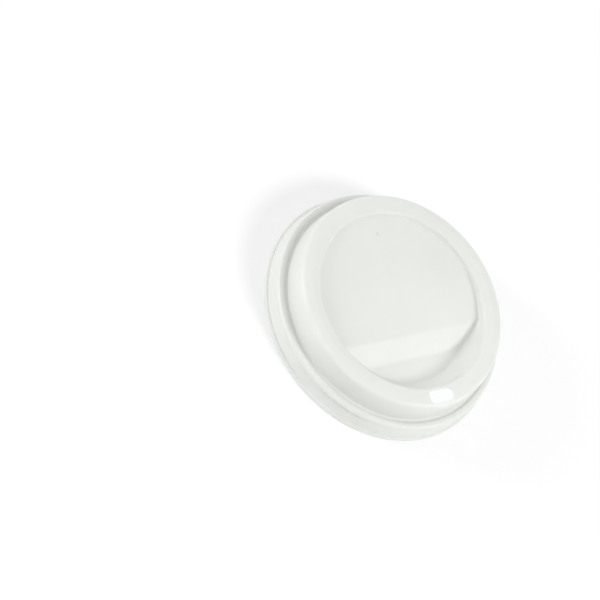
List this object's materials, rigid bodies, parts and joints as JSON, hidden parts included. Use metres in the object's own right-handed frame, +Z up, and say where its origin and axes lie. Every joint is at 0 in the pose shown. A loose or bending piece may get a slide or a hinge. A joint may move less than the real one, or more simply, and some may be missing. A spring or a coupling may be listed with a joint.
{
  "type": "coffee cup lid",
  "caption": "Round white takeaway cup lid with a snap rim, a raised drinking ring with a sip hole, and a sloped recess with a trough and a vent.",
  "frame": {"origin": "centre of the open rim, in the plane that the rim rests on", "axes": "+Z up through the dome, -Y towards the sip hole, +Y towards the vent"},
  "size_m": [0.093, 0.093, 0.0177],
  "materials": {
    "white_polystyrene": "thin white thermoformed sheet with a soft sheen"
  },
  "bodies": {
    "root": {"lid": "white_polystyrene"}
  },
  "joints": []
}
